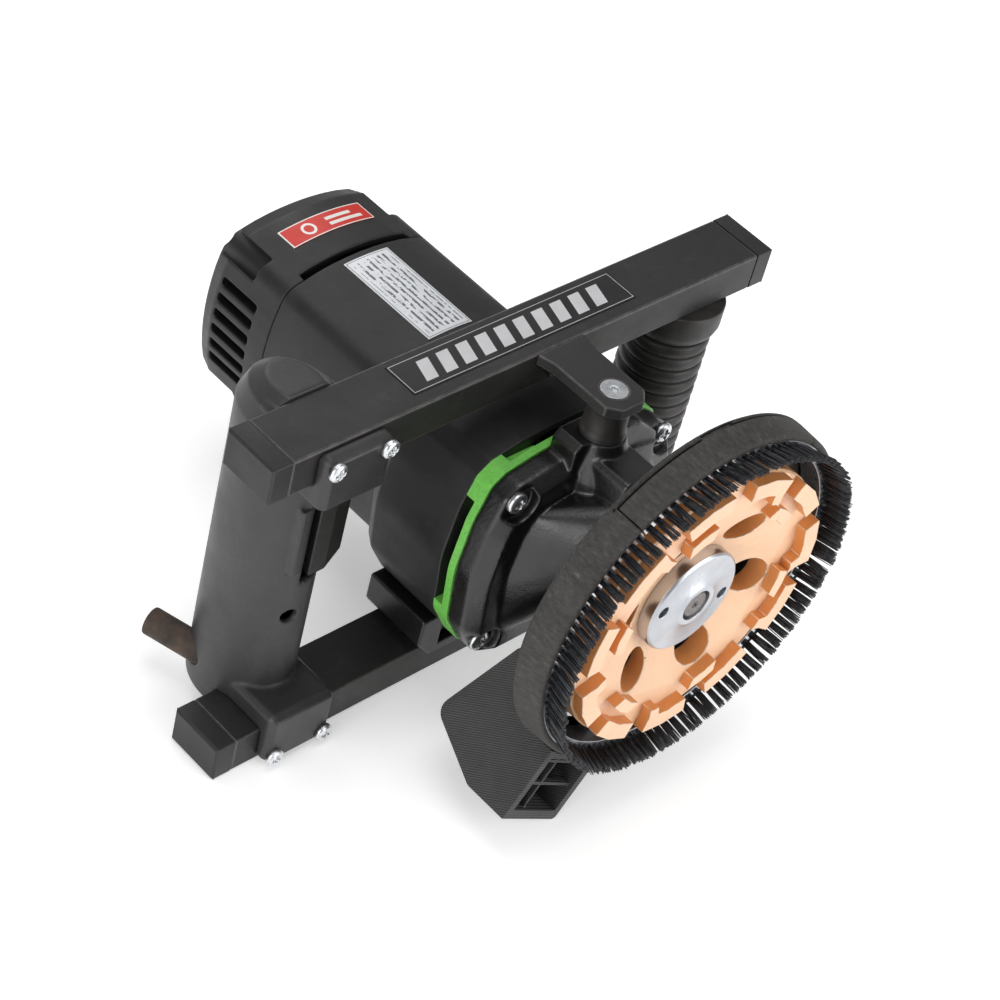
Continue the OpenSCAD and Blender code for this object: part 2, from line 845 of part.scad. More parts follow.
module field_coils() {
    place()
        color("sienna")
            for (s = [-1, 1])
                translate([0, 0, motor_z])
                    intersection() {
                        difference() {
                            box([s > 0 ? 24 : -34, 112.5, -16.9], [s > 0 ? 34 : -24, 183, 16.9]);
                            rod_y(26.4, 110, 190);
                        }
                        rod_y(38, 110, 190);
                    }
}

module brush_holders() {
    place()
        color("goldenrod")
            for (s = [-1, 1])
                translate([0, 0, motor_z])
                    difference() {
                        intersection() {
                            box([s > 0 ? 15 : -42, 194, -7.5], [s > 0 ? 42 : -15, 205, 7.5]);
                            rod_y(stator_r, 190, 208);
                        }
                        box([s > 0 ? 14 : -36, 196.5, -5.2], [s > 0 ? 36 : -14, 202.5, 5.2]);
                    }
}

module carbon_brushes() {
    place()
        color("black")
            for (s = [-1, 1])
                box([s > 0 ? 12.6 : -29, 196.8, motor_z - 5], [s > 0 ? 29 : -12.6, 202.2, motor_z + 5]);
}

module brush_springs() {
    place()
        color("silver")
            for (s = [-1, 1], i = [0:3])
                translate([s * (29.9 + i * 1.7), 199.5, motor_z])
                    rotate([0, 90, 0])
                        rotate_extrude($fn = 24)
                            translate([1.9, 0])
                                circle(r = 0.86, $fn = 16);
}

// ---------- dust hood ----------

module tongue(grow) {
    around(segment_mid)
        box([56 - grow, rim_back - 1, -8 - grow], [hood_r - 1 + grow * 4, 21.5 + grow / 2, 8 + grow]);
}

module rim(inner, outer) {
    turned([[inner, rim_front], [outer - 1, rim_front], [outer, rim_front + 1], [outer + 0.6, rim_back - 1],
        [outer + 0.6, rim_back], [inner, rim_back]]);
}

module hood_body() {
    a0 = segment_mid - segment_half;
    a1 = segment_mid + segment_half;
    plate_r = hood_r + 0.6;
    place()
        color([0.15, 0.15, 0.15])
            difference() {
                union() {
                    difference() {
                        rim(hood_r - 2.8, hood_r);
                        sector(a0, a1, rim_front - 1, rim_back + 1);
                    }
                    turned([[26.2, plate_y0], [hood_r - 3, plate_y0], [hood_r - 3, rim_back - 0.1],
                        [plate_r, rim_back - 0.1], [plate_r, plate_y0 + 1], [plate_r - 2.5, plate_y1],
                        [34, plate_y1], [29, plate_y1 + 3], [27.5, plate_y1 + 4], [27.5, 36.5],
                        [neck_r + run, 36.5], [neck_r + run, 25.2], [26.2, 25.2]]);
                }
                sector(a0, a1, rim_back - 1, plate_y0);
                tongue(gap);
                // dust window into the duct
                around(duct_angle)
                    box([55.5, plate_y0 - 2, duct_side0 + duct_wall], [72, plate_y1 + 1, duct_side1 - duct_wall]);
                // slit that lets the clamp close the collar
                around(-90)
                    box([neck_r - 1, 28.5, -1], [30, 40, 1]);
                for (z = [duct_side0 + duct_wall / 2, duct_side1 - duct_wall / 2])
                    around(duct_angle)
                        rod_y(1.4, plate_y0 - 1, plate_y1 + 1, 63, z);
            }
}

module hood_segment() {
    play = 0.35;
    place()
        color([0.17, 0.17, 0.17]) {
            intersection() {
                difference() {
                    rim(hood_r - 2.8, hood_r);
                    rod_y(150, rim_back - 0.35, rim_back + 2);
                }
                sector(segment_mid - segment_half + play, segment_mid + segment_half - play, 0, 30);
            }
            intersection() {
                tongue(0);
                rod_y(hood_r - 1, 0, 30);
            }
        }
}

// U-channel that grips the tufts' roots
module strip_ring() {
    turned([[69.6, 7.9], [74.18, 7.9], [74.18, 18.4], [69.6, 18.4]]);
}

module bristle_ring() {
    turned([[70.3, 7.88], [73.6, 7.88], [76.6, bristle_tip], [72.6, bristle_tip]]);
}

module brush_strip() {
    place()
        color("silver")
            difference() {
                strip_ring();
                sector(segment_mid - segment_half, segment_mid + segment_half, 0, 30);
            }
}

module segment_strip() {
    play = 0.45;
    place()
        color("silver")
            intersection() {
                strip_ring();
                sector(segment_mid - segment_half + play, segment_mid + segment_half - play, 0, 30);
            }
}

module hood_bristles() {
    place()
        color("black")
            difference() {
                bristle_ring();
                sector(segment_mid - segment_half, segment_mid + segment_half, -10, 30);
            }
}

module segment_bristles() {
    play = 0.6;
    place()
        color("black")
            intersection() {
                bristle_ring();
                sector(segment_mid - segment_half + play, segment_mid + segment_half - play, -10, 30);
            }
}

module hood_clamp() {
    place()
        color("dimgray")
            difference() {
                union() {
                    ring_y(27.5, 29.6, 28.6, 36.2);
                    for (s = [-1, 1])
                        around(-90)
                            box([28.5, 28.6, s > 0 ? 1.5 : -5.5], [39, 36.2, s > 0 ? 5.5 : -1.5]);
                }
                around(-90)
                    box([26, 28, -1.5], [40, 37, 1.5]);
                translate([-10, 32.4, -34.3])
                    rotate([0, 90, 0])
                        cylinder(r = 2, h = 20);
            }
}

module hood_clamp_screw() {
    place()
        color("silver")
            translate([0, 32.4, -34.3])
                rotate([0, 90, 0]) {
                    translate([0, 0, -9])
                        cylinder(r = 2, h = 17);
                    difference() {
                        translate([0, 0, -9])
                            cylinder(r = 3.5, h = 3.5);
                        translate([0, 0, -10])
                            cylinder(r = 1.6, h = 3, $fn = 6);
                    }
                    translate([0, 0, 5.5])
                        cylinder(r = 4, h = 2.5, $fn = 6);
                }
}

module dust_duct() {
    w = duct_wall;
    outer = rounded([[duct_end, 10], [duct_end, 30.3], [96, 60.6], [54.3, 46.4], [54.3, plate_y1 - 1],
        [74, plate_y1 - 1], [74, 10]], [0, 3, 6, 3, 0, 0, 0], 5);
    inner = [[duct_end - w, 9], [duct_end - w, 30], [94, 55], [59, 43], [56.5, 40],
        [56.5, plate_y1 - 2], [72, plate_y1 - 2], [72, 28], [hood_r + 3.4, 25], [hood_r + 3.4, 9]];
    middle = (duct_side0 + duct_side1) / 2;
    place()
        color([0.2, 0.2, 0.2])
            difference() {
                around(duct_angle)
                    difference() {
                        union() {
                            difference() {
                                translate([0, 0, duct_side0])
                                    linear_extrude(duct_side1 - duct_side0)
                                        polygon(outer);
                                translate([0, 0, duct_side0 + w])
                                    linear_extrude(duct_side1 - duct_side0 - 2 * w)
                                        polygon(inner);
                            }
                            // grid in the mouth
                            box([hood_r + 3, 12, middle - 6.5], [duct_end - 2, 15.5, middle - 5]);
                            for (r = [duct_end - w - 11.7, duct_end - w - 22.8])
                                box([r - 0.75, 12, duct_side0 + 2], [r + 0.75, 15.5, duct_side1 - 2]);
                            translate([port_out, port_y, duct_side1 - 1])
                                cylinder(r = port_r + 2, h = port_len + 1);
                        }
                        translate([port_out, port_y, duct_side1 - w - 0.02])
                            cylinder(r = port_r, h = port_len + w + 1);
                        for (z = [duct_side0 + w / 2, duct_side1 - w / 2])
                            rod_y(1.4, plate_y1 - 3, plate_y1 + 8, 63, z);
                    }
                // the hood's rim nests in the duct, which stays above the floor
                rod_y(hood_r + 0.65, 0, plate_y1);
                box([-200, 0, floor_z - 40], [200, 100, floor_z]);
            }
}

module duct_screws() {
    place()
        color("silver")
            around(duct_angle)
                for (z = [duct_side0 + duct_wall / 2, duct_side1 - duct_wall / 2])
                    translate([63, plate_y0 - 1.5, z])
                        rotate([-90, 0, 0]) {
                            cylinder(r = 2.6, h = 1.5);
                            cylinder(r = 1.35, h = 10);
                        }
}

// ---------- switch handle ----------

module oval(a, b) {
    translate([handle_x, handle_y])
        scale([a, b])
            circle(r = 1, $fn = 64);
}

module handle_solid() {
    hull() {
        translate([0, 0, handle_bottom + 8])
            linear_extrude(handle_top - handle_bottom - 22)
                oval(handle_a, handle_b);
        translate([0, 0, handle_bottom])
            linear_extrude(1)
                oval(handle_a - 6, handle_b - 6);
        translate([0, 0, handle_top - 6])
            linear_extrude(1)
                oval(handle_a - 3, handle_b - 4);
        translate([0, 0, handle_top - 1])
            linear_extrude(1)
                oval(handle_a - 9, handle_b - 10);
    }
    // upright guard ridge on the front, level with the trigger
    box([guard_x - 2.3, handle_y - handle_b - 1, -16], [guard_x + 2.3, handle_y - handle_b + 5, 18]);
    // moulded saddles that reach forward round each rail
    for (side = [1, -1]) {
        rail_z = side > 0 ? top_rail_z : bottom_rail_z;
        near = rail_z - side * (rail_h / 2 + clamp_lip);
        far = rail_z + side * (rail_h / 2 - 1.6);
        hull() {
            box([clamp_x0 + 2, clamp_front, min(near, far) + 2], [clamp_x1 - 2, clamp_front + 1, max(near, far) - 2]);
            box([clamp_x0, clamp_front + 3, min(near, far) + 2], [clamp_x1, rail_front + rail_w + 6, max(near, far) - 2]);
            box([clamp_x0 + 2, clamp_front + 3, min(near, far)], [clamp_x1 - 2, rail_front + rail_w + 6, max(near, far)]);
        }
    }
}

module handle_cuts() {
    // rails pass through
    for (z = [top_rail_z, bottom_rail_z])
        box([-160, rail_front, z - rail_h / 2], [-60, rail_front + rail_w, z + rail_h / 2]);
    // what would wrap over the outer sides of the rails
    box([-160, 80, top_rail_z + rail_h / 2 - 1.6], [-60, rail_front + rail_w, 90]);
    box([-160, 80, floor_z - 9], [-60, rail_front + rail_w, floor_z + 1.6]);
    // hollow grip between the rails
    translate([0, 0, rail_bottom_over + 12])
        linear_extrude(rail_top_under - rail_bottom_over - 24)
            oval(handle_a - 3, handle_b - 3);
    box([trigger_x0 - trigger_travel - gap, clamp_front, trigger_z0 - gap],
        [trigger_x1, trigger_y1 + gap, trigger_z1 + gap]);
    for (x = handle_screw_x, z = handle_screw_z)
        rod_y(2.05, clamp_front - 5, 138.5, x, z);
    // strain relief socket and the lock pin's hole in the front
    cable_way(6.05, -1, 60);
    rod_y(3.3, handle_y - handle_b - 3, handle_y - handle_b + 8, lock_hole[0], lock_hole[1]);
}

// The cable entry leaves the handle low on its rear left
module cable_way(r, from, to) {
    translate([-113, 128, -84])
        rotate([0, 0, 17])
            rotate([-90, 0, 0])
                translate([0, 0, from])
                    cylinder(r = r, h = to - from);
}

module handle_front_shell() {
    place()
        color([0.22, 0.22, 0.23])
            difference() {
                handle_solid();
                handle_cuts();
                box([-160, handle_split, -150], [-60, 200, 100]);
            }
}

module handle_rear_shell() {
    place()
        color([0.2, 0.2, 0.21])
            difference() {
                handle_solid();
                handle_cuts();
                box([-160, 50, -150], [-60, handle_split, 100]);
            }
}

module handle_screws() {
    place()
        color("silver")
            for (x = handle_screw_x, z = handle_screw_z)
                pan_screw(clamp_front - 3, x, z, 3.9, 3, 2, 45);
}

module trigger() {
    pocket_end = -86.5;
    place()
        color([0.25, 0.25, 0.26])
            difference() {
                translate([0, 0, trigger_z0])
                    linear_extrude(trigger_z1 - trigger_z0)
                        polygon(rounded([[trigger_x0, trigger_y0], [trigger_x0 + 8, trigger_y0],
                            [trigger_x1, trigger_y0 + 6], [trigger_x1, trigger_y1],
                            [trigger_x0, trigger_y1]], [0, 3, 3, 3.5, 0], 5));
                // spring pocket
                translate([trigger_x0 - 1, 124, -6])
                    rotate([0, 90, 0])
                        cylinder(r = 4.6, h = pocket_end - trigger_x0 + 1);
            }
}

module trigger_spring() {
    turns = 5;
    place()
        color("silver")
            for (i = [0:turns - 1])
                translate([-100.1 + i * 1.9, 124, -6])
                    rotate([0, 90, 0])
                        rotate_extrude($fn = 32)
                            translate([3, 0])
                                circle(r = 0.96, $fn = 16);
}

module switch_module() {
    switch_face = -106.7;
    spring_start = -101.06;
    place()
        color("black")
            difference() {
                union() {
                    box([-117.4, 120, -26], [switch_face, 138, 14]);
                    translate([switch_face - 0.02, 124, -6])
                        rotate([0, 90, 0])
                            cylinder(r = 3.9, h = spring_start - switch_face + 0.02);
                }
                box([-114.5, 122.5, -27], [-109, 134.5, -20]);
            }
}

module cable_sleeve() {
    place()
        color([0.15, 0.12, 0.1])
            difference() {
                cable_way(6, 0, 38.5);
                cable_way(3.6, 5, 40);
            }
}

// ---------- ribbed grip ----------

module grip_post() {
    place()
        color("silver")
            difference() {
                rod_z(10, rail_bottom_over, rail_top_under, grip_x, rail_y);
                rod_z(2.9, rail_bottom_over - 1, rail_bottom_over + 18, grip_x, rail_y);
                rod_z(2.9, rail_top_under - 18, rail_top_under + 1, grip_x, rail_y);
            }
}

module grip_sleeve() {
    low = rail_bottom_over + 16;
    high = rail_top_under - 16;
    ribs = floor((high - low) / grip_pitch);
    step = (high - low) / ribs;
    place()
        color([0.18, 0.18, 0.18])
            translate([grip_x, rail_y, 0])
                rotate_extrude()
                    polygon(concat([[10, low]],
                        [for (i = [0:ribs - 1]) each [
                            [grip_r - 1.6, low + i * step], [grip_r - 0.3, low + (i + 0.12) * step],
                            [grip_r, low + (i + 0.35) * step], [grip_r - 0.2, low + (i + 0.7) * step],
                            [grip_r - 1.6, low + (i + 0.94) * step]]],
                        [[grip_r - 1.6, high], [10, high]]));
}

module grip_cuffs() {
    cuff_r = grip_r + 2;
    place()
        color([0.14, 0.14, 0.14])
            for (flip = [0, 1])
                translate([grip_x, rail_y, flip > 0 ? rail_top_under : rail_bottom_over])
                    mirror([0, 0, flip])
                        rotate_extrude()
                            polygon([[10, 0], [cuff_r, 0], [cuff_r, 10], [cuff_r - 1.2, 13.5], [grip_r - 1.2, 15.98],
                                [10, 15.98]]);
}

module grip_bolts() {
    place()
        color("silver")
            for (flip = [0, 1])
                translate([grip_x, rail_y, flip > 0 ? top_rail_z : bottom_rail_z])
                    mirror([0, 0, flip])
                        difference() {
                            union() {
                                translate([0, 0, rail_h / 2 - rail_wall - 4])
                                    cylinder(r = 4.8, h = 4);
                                translate([0, 0, rail_h / 2 - rail_wall - 0.02])
                                    cylinder(r = 2.85, h = 18);
                            }
                            translate([0, 0, rail_h / 2 - rail_wall - 5])
                                cylinder(r = 2.2, h = 3, $fn = 6);
                        }
}

top_rail();
bottom_rail();
rail_end_caps();
arm_bracket();
arm_screw();
arm_damper();
rail_label();
bottom_saddle();
saddle_screws();
motor_casing();
rear_cap();
rear_cap_screws();
cap_decal();
rating_plate();
air_outlet_ring();
bearing_shield();
gear_housing();
gear_housing_screws();
spindle_front_bearing();
spindle_rear_bearing();
armature_front_bearing();
armature_rear_bearing();
spindle();
drive_gear();
backing_flange();
cup_wheel();
wheel_segments();
flange_nut();
armature_shaft();
armature_core();
armature_windings();
commutator();
cooling_fan();
stator_core();
field_coils();
brush_holders();
carbon_brushes();
brush_springs();
hood_body();
hood_segment();
brush_strip();
hood_bristles();
segment_strip();
segment_bristles();
hood_clamp();
hood_clamp_screw();
dust_duct();
duct_screws();
handle_front_shell();
handle_rear_shell();
handle_screws();
trigger();
trigger_spring();
switch_module();
cable_sleeve();
grip_post();
grip_sleeve();
grip_cuffs();
grip_bolts();
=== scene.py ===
"""The looks of a hand-held wall grinder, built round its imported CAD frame.

Castings and mouldings are their CAD solids with softened edges. The brush tufts, the
ribbed grip, the screws and the labels are made here, in the places the frame gives.
Metres, in the frame's own axes: X along the rails, -Y faces the wall, +Z is up."""

import json
import math
import random

import bmesh
import bpy
from mathutils import Matrix, Vector

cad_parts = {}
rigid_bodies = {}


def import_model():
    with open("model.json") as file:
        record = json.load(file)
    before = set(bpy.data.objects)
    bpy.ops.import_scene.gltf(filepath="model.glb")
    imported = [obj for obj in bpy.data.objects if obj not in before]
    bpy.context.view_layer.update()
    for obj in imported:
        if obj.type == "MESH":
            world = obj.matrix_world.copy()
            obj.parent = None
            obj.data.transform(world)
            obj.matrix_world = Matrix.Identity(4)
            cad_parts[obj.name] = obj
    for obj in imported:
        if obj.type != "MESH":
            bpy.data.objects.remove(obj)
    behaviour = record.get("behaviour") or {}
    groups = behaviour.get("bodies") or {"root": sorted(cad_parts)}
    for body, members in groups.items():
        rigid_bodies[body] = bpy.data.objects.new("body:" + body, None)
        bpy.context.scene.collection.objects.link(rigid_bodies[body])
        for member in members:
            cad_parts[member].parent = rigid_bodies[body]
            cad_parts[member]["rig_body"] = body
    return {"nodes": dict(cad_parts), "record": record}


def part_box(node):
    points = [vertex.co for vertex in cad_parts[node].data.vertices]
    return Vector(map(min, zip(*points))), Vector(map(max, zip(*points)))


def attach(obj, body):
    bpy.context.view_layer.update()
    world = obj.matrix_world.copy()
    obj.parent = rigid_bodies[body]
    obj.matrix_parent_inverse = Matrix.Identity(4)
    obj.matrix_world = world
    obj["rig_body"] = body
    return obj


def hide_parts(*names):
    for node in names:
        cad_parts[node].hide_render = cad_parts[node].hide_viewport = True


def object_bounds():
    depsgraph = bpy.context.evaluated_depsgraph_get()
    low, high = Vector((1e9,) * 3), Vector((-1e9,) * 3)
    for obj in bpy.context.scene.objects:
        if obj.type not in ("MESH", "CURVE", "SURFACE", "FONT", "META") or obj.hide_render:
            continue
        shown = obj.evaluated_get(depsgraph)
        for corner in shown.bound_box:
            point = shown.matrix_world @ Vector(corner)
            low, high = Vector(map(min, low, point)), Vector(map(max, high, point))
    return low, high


MM = 0.001
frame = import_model()
cad_low, cad_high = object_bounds()
nodes = frame["nodes"]
scene = bpy.context.scene
scene.view_settings.view_transform = "Standard"
draws = random.Random(7)

slots = {}
for part in frame["record"]["subparts"]:
    slots[part["node"]] = part.get("material_slot")


# ---------- camera, floor and lights ----------

VIEW_AZIMUTH = -53.0
VIEW_ELEVATION = 41.57
VIEW_ROLL = 15.53
VIEW_DISTANCE = 1.079
VIEW_OFFSET = Vector((-0.0283, -0.0467, 0.0267))  # from the box's middle to what is looked at
VIEW_LENS = 102.61

WORLD_LIGHT = 0.32
LIT_POINT = Vector((0, 0, 0.1))
LAMPS = (  # name, place, (width, height), watts
    ("key", (0.55, -1.3, 0.55), (1.2, 0.9), 12),
    ("fill", (-1.25, -0.25, 0.55), (0.9, 0.9), 8),
    ("rim", (0.3, 1.1, 1.0), (1.2, 0.5), 5),
    ("top", (-0.1, 0.0, 1.7), (1.0, 1.0), 8),
)
FLOOR_HALF = 4.0
FLOOR_DROP = 0.2 * MM  # the floor lies this far below the tool, clear of its faces
FLOOR_GREY = 0.93
FLOOR_GLOW = 0.35


def place_camera():
    data = bpy.data.cameras.new("camera")
    data.lens = VIEW_LENS
    data.sensor_width = 36
    camera = bpy.data.objects.new("camera", data)
    scene.collection.objects.link(camera)
    a, e = math.radians(VIEW_AZIMUTH), math.radians(VIEW_ELEVATION)
    back = Vector((math.sin(a) * math.cos(e), -math.cos(a) * math.cos(e), math.sin(e)))
    turn = back.to_track_quat("Z", "Y").to_matrix().to_4x4()
    roll = Matrix.Rotation(math.radians(VIEW_ROLL), 4, "Z")
    aim = (cad_low + cad_high) / 2 + VIEW_OFFSET
    camera.matrix_world = Matrix.Translation(aim + back * VIEW_DISTANCE) @ turn @ roll
    scene.camera = camera


def softbox(name, place, size, power):
    """A white rectangular lamp, size (wide, high), that looks at the middle of the tool."""
    data = bpy.data.lights.new(name, "AREA")
    data.shape = "RECTANGLE"
    data.size, data.size_y = size
    data.energy = power
    light = bpy.data.objects.new(name, data)
    scene.collection.objects.link(light)
    light.location = place
    light.rotation_euler = (LIT_POINT - Vector(place)).to_track_quat("-Z", "Y").to_euler()


def studio():
    world = bpy.data.worlds.new("studio")
    world.use_nodes = True
    background = world.node_tree.nodes["Background"]
    background.inputs["Color"].default_value = (1, 1, 1, 1)
    background.inputs["Strength"].default_value = WORLD_LIGHT
    scene.world = world
    for lamp in LAMPS:
        softbox(*lamp)
    mesh = bpy.data.meshes.new("floor")
    signs = ((-1, -1), (1, -1), (1, 1), (-1, 1))
    corners = [(x * FLOOR_HALF, y * FLOOR_HALF, 0) for x, y in signs]
    mesh.from_pydata(corners, [], [(0, 1, 2, 3)])
    floor = bpy.data.objects.new("floor", mesh)
    scene.collection.objects.link(floor)
    floor.location.z = cad_low.z - FLOOR_DROP
    look = bpy.data.materials.new("pale_floor")
    look.use_nodes = True
    surface = look.node_tree.nodes["Principled BSDF"]
    surface.inputs["Base Color"].default_value = (FLOOR_GREY, FLOOR_GREY, FLOOR_GREY, 1)
    surface.inputs["Roughness"].default_value = 0.75
    surface.inputs["Emission Color"].default_value = (1, 1, 1, 1)
    surface.inputs["Emission Strength"].default_value = FLOOR_GLOW
    mesh.materials.append(look)


# ---------- material building blocks ----------


def linear(red, green, blue):
    """A screen colour, 0 to 255, as the linear colour that shaders take."""
    shades = [c / 255 for c in (red, green, blue)]
    return tuple(((s + 0.055) / 1.055) ** 2.4 if s > 10 / 255 else s / 12.92 for s in shades) + (1,)


class Look:
    """A material under construction: its node tree, its shader and the piece's own coordinates."""

    def __init__(self, name, roughness=0.5, metallic=0.0, specular=0.5, coat=0.0):
        self.material = bpy.data.materials.new(name)
        self.material.use_nodes = True
        self.tree = self.material.node_tree
        self.shader = self.tree.nodes["Principled BSDF"]
        self.shader.inputs["Roughness"].default_value = roughness
        self.shader.inputs["Metallic"].default_value = metallic
        self.shader.inputs["Specular IOR Level"].default_value = specular
        self.shader.inputs["Coat Weight"].default_value = coat
        self.coords = self.tree.nodes.new("ShaderNodeTexCoord").outputs

    def put(self, value, socket):
        """Links an output to a socket, or sets the socket's value."""
        if isinstance(value, bpy.types.NodeSocket):
            self.tree.links.new(value, socket)
        else:
            socket.default_value = value

    def math(self, operation, *values):
        made = self.tree.nodes.new("ShaderNodeMath")
        made.operation = operation
        for socket, value in zip(made.inputs, values):
            self.put(value, socket)
        return made.outputs[0]

    def axes(self):
        """X, Y and Z of the piece's own coordinates, in metres."""
        made = self.tree.nodes.new("ShaderNodeSeparateXYZ")
        self.put(self.coords["Object"], made.inputs[0])
        return made.outputs

    def place(self, scale):
        made = self.tree.nodes.new("ShaderNodeMapping")
        self.put(self.coords["Object"], made.inputs["Vector"])
        made.inputs["Scale"].default_value = scale
        return made.outputs[0]

    def noise(self, size, detail=3.0, stretch=(1, 1, 1), roughness=0.55):
        """Noise whose features are about size metres across, longer where stretch is over 1."""
        made = self.tree.nodes.new("ShaderNodeTexNoise")
        self.put(self.place(tuple(1 / (size * s) for s in stretch)), made.inputs["Vector"])
        made.inputs["Scale"].default_value = 1.0
        made.inputs["Detail"].default_value = detail
        made.inputs["Roughness"].default_value = roughness
        return made.outputs["Fac"]

    def ramp(self, value, *stops):
        """Colours or greys along a value: each stop is (place, colour or grey)."""
        made = self.tree.nodes.new("ShaderNodeValToRGB")
        self.put(value, made.inputs[0])
        elements = made.color_ramp.elements
        while len(elements) < len(stops):
            elements.new(0.5)
        for element, (at, shade) in zip(elements, stops):
            element.position = at
            element.color = shade if isinstance(shade, tuple) else (shade, shade, shade, 1)
        return made.outputs["Color"]

    def mix(self, share, first, second, blend="MIX"):
        made = self.tree.nodes.new("ShaderNodeMix")
        made.data_type = "RGBA"
        made.blend_type = blend
        self.put(share, made.inputs["Factor"])
        self.put(first, made.inputs["A"])
        self.put(second, made.inputs["B"])
        return made.outputs["Result"]

    def within(self, value, low, high):
        """1 where value lies between low and high."""
        return self.math("COMPARE", value, (low + high) / 2, (high - low) / 2)

    def colour(self, value):
        self.put(value, self.shader.inputs["Base Color"])

    def gloss(self, value):
        self.put(value, self.shader.inputs["Roughness"])

    def bumps(self, *layers):
        """Each layer is (height output, depth in metres)."""
        normal = None
        for height, depth in layers:
            made = self.tree.nodes.new("ShaderNodeBump")
            self.put(height, made.inputs["Height"])
            made.inputs["Distance"].default_value = depth
            if normal:
                self.put(normal, made.inputs["Normal"])
            normal = made.outputs[0]
        self.put(normal, self.shader.inputs["Normal"])


RING_PITCH = 0.5 * MM  # turned marks on the flange nut
DUCT_LINE_PITCH = 1.1 * MM
BAR_PITCH = 9.9 * MM  # the bars on the rail's label
BAR_COUNT = 10
BAR_SHARE = 0.6
BAR_LEAN = -0.32
PLATE_LINE_PITCH = 2.7 * MM


def moulded(name, dark, light, rough, grain, depth, dust=0.0, specular=0.5):
    """Moulded or coated surface: uneven tone, fine grain, and dust that settles in patches."""
    look = Look(name, rough, specular=specular)
    clouds = look.ramp(look.noise(0.035, 4), (0.35, 0.0), (0.68, 1.0))
    tone = look.mix(clouds, linear(*dark), linear(*light))
    fine = look.ramp(look.noise(grain * 2.2, 2), (0.3, 0.86), (0.75, 1.14))
    tone = look.mix(1.0, tone, fine, "MULTIPLY")
    if dust:
        patches = look.ramp(look.noise(0.006, 5, roughness=0.7), (0.56, 0.0), (0.78, dust))
        tone = look.mix(patches, tone, linear(150, 145, 140))
    look.colour(tone)
    look.gloss(look.ramp(look.noise(0.02, 5), (0.3, rough - 0.07), (0.7, rough + 0.1)))
    look.bumps((look.noise(grain, 2), depth), (look.noise(grain * 7, 2), depth * 1.2))
    return look.material


def edge_wear_and_highlight(name, shade, rough):
    """The lighter line along a coated part's edges: partly edge wear, partly a painted highlight.
    """
    look = Look(name, rough)
    # Painted highlight and wear, uneven along the edge.
    rubbed = look.ramp(look.noise(0.004, 4), (0.35, 0.0), (0.65, 1.0))
    look.colour(look.mix(rubbed, linear(*[c * 0.72 for c in shade]), linear(*shade)))
    look.gloss(look.ramp(look.noise(0.003, 3), (0.3, rough - 0.1), (0.7, rough + 0.1)))
    look.bumps((look.noise(0.0006, 2), 0.00003))
    return look.material


def metal(name, dark, light, rough, stretch=(1, 1, 1), scratch=0.0008, depth=0.00002):
    """Bare metal with fine marks, drawn out along the stretched axis."""
    look = Look(name, rough, metallic=1.0)
    marks = look.noise(scratch, 4, stretch)
    share = look.ramp(marks, (0.3, 0.0), (0.7, 1.0))
    look.colour(look.mix(share, linear(*dark), linear(*light)))
    smears = look.noise(scratch * 6, 3, stretch)
    look.gloss(look.ramp(smears, (0.3, rough - 0.06), (0.7, rough + 0.12)))
    look.bumps((marks, depth))
    return look.material


def turned_metal(name, dark, light, rough, node, depth=0.00003):
    """Metal with the fine rings that a lathe leaves about the spindle's axis."""
    low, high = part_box(node)
    centre = (low + high) / 2
    look = Look(name, rough, metallic=1.0)
    x, _, z = look.axes()
    across = look.math("SUBTRACT", x, centre.x)
    up = look.math("SUBTRACT", z, centre.z)
    squares = look.math("MULTIPLY", across, across), look.math("MULTIPLY", up, up)
    radius = look.math("SQRT", look.math("ADD", *squares))
    rings = look.math("SINE", look.math("MULTIPLY", radius, 2 * math.pi / RING_PITCH))
    uneven = look.noise(0.02, 2)
    marks = look.math("MULTIPLY", rings, uneven)
    share = look.ramp(uneven, (0.35, 0.0), (0.65, 1.0))
    look.colour(look.mix(share, linear(*dark), linear(*light)))
    look.gloss(look.ramp(look.noise(0.012, 3), (0.3, rough - 0.04), (0.7, rough + 0.05)))
    look.bumps((marks, depth))
    return look.material


def wheel_paint_and_painted_light(name, face, side, grit):
    """The wheel's bronze paint with painted light: a painted highlight makes the faces that look at
    the wall pale, and painted shade makes the sides deeper.
    """
    look = Look(name, 0.42, specular=0.6)
    # Painted highlight on the faces along the spindle and painted shade on the sides, chosen by
    # which way each face looks.
    facing = look.tree.nodes.new("ShaderNodeSeparateXYZ")
    look.put(look.coords["Normal"], facing.inputs[0])
    front = look.math("ABSOLUTE", facing.outputs["Y"])
    tone = look.mix(look.ramp(front, (0.55, 0.0), (0.93, 1.0)), linear(*side), linear(*face))
    patches = look.ramp(look.noise(0.012, 4), (0.3, 0.95), (0.7, 1.04))
    tone = look.mix(1.0, tone, patches, "MULTIPLY")
    specks = look.ramp(look.noise(0.0011, 3), (0.62, 0.0), (0.75, grit))
    look.colour(look.mix(specks, tone, linear(186, 118, 62)))
    look.gloss(look.ramp(look.noise(0.004, 4), (0.3, 0.34), (0.7, 0.52)))
    look.bumps((look.noise(0.0007, 3), 0.00005), (look.noise(0.006, 2), 0.00012))
    return look.material


def rubber(name, dark, light, rough):
    """Matt rubber with uneven tone and soft dents."""
    look = Look(name, rough, specular=0.42)
    share = look.ramp(look.noise(0.01, 4), (0.35, 0.0), (0.7, 1.0))
    look.colour(look.mix(share, linear(*dark), linear(*light)))
    look.gloss(look.ramp(look.noise(0.008, 4), (0.3, rough - 0.1), (0.7, rough + 0.1)))
    look.bumps((look.noise(0.0006, 2), 0.00004), (look.noise(0.004, 3), 0.00008))
    return look.material


